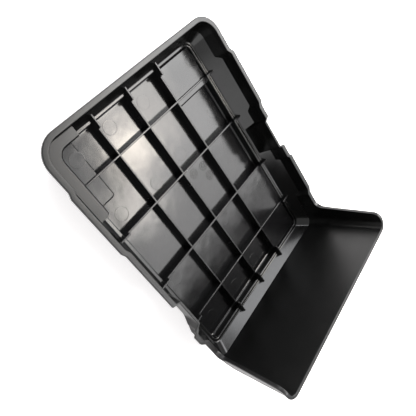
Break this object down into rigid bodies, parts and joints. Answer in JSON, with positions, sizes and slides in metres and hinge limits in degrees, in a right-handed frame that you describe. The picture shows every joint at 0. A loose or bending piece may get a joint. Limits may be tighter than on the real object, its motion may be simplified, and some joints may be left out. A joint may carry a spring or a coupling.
{
  "type": "car battery cover",
  "caption": "Black moulded cover for a car battery, seen open side up, with a ribbed recess, jogged skirts and a tall front apron",
  "frame": {"origin": "middle of the flat outer panel's outer face, on which the cover lies", "axes": "+X across the cover to the right seen from above with the apron nearest, +Y towards the back skirt, away from the apron, +Z out of the open side"},
  "size_m": [0.206, 0.2602, 0.1036],
  "materials": {
    "shell": "fine moulded semi-gloss",
    "panel": "polished mould face with faint flow marks",
    "rib": "smooth moulded",
    "rim": "fine spark-eroded grain",
    "apron": "smooth moulded satin"
  },
  "bodies": {
    "root": {"outer_panel": "panel", "recess_riser": "shell", "ledge": "shell", "shoulder_left": "shell", "shoulder_right": "shell", "shoulder_back": "shell", "shoulder_front": "shell", "skirt_left": "shell", "skirt_right": "shell", "skirt_back": "shell", "rim_left_front": "rim", "rim_left_rear": "rim", "rim_right_front": "rim", "rim_right_rear": "rim", "rim_back": "rim", "notch_edge_left": "rim", "notch_edge_right": "rim", "cheek_left": "shell", "cheek_right": "shell", "apron_panel": "apron", "rim_cheek_left": "rim", "rim_cheek_right": "rim", "rim_apron": "rim", "long_rib_1": "rib", "long_rib_2": "rib", "long_rib_3": "rib", "cross_rib_1": "rib", "cross_rib_2": "rib", "cross_rib_3": "rib", "cross_rib_4": "rib", "land_back_right": "panel", "land_back_right_step": "panel", "land_side_rear": "panel", "land_side_front": "panel", "land_front_right": "panel", "land_front_right_rear": "panel", "corner_pad": "shell"}
  },
  "joints": []
}
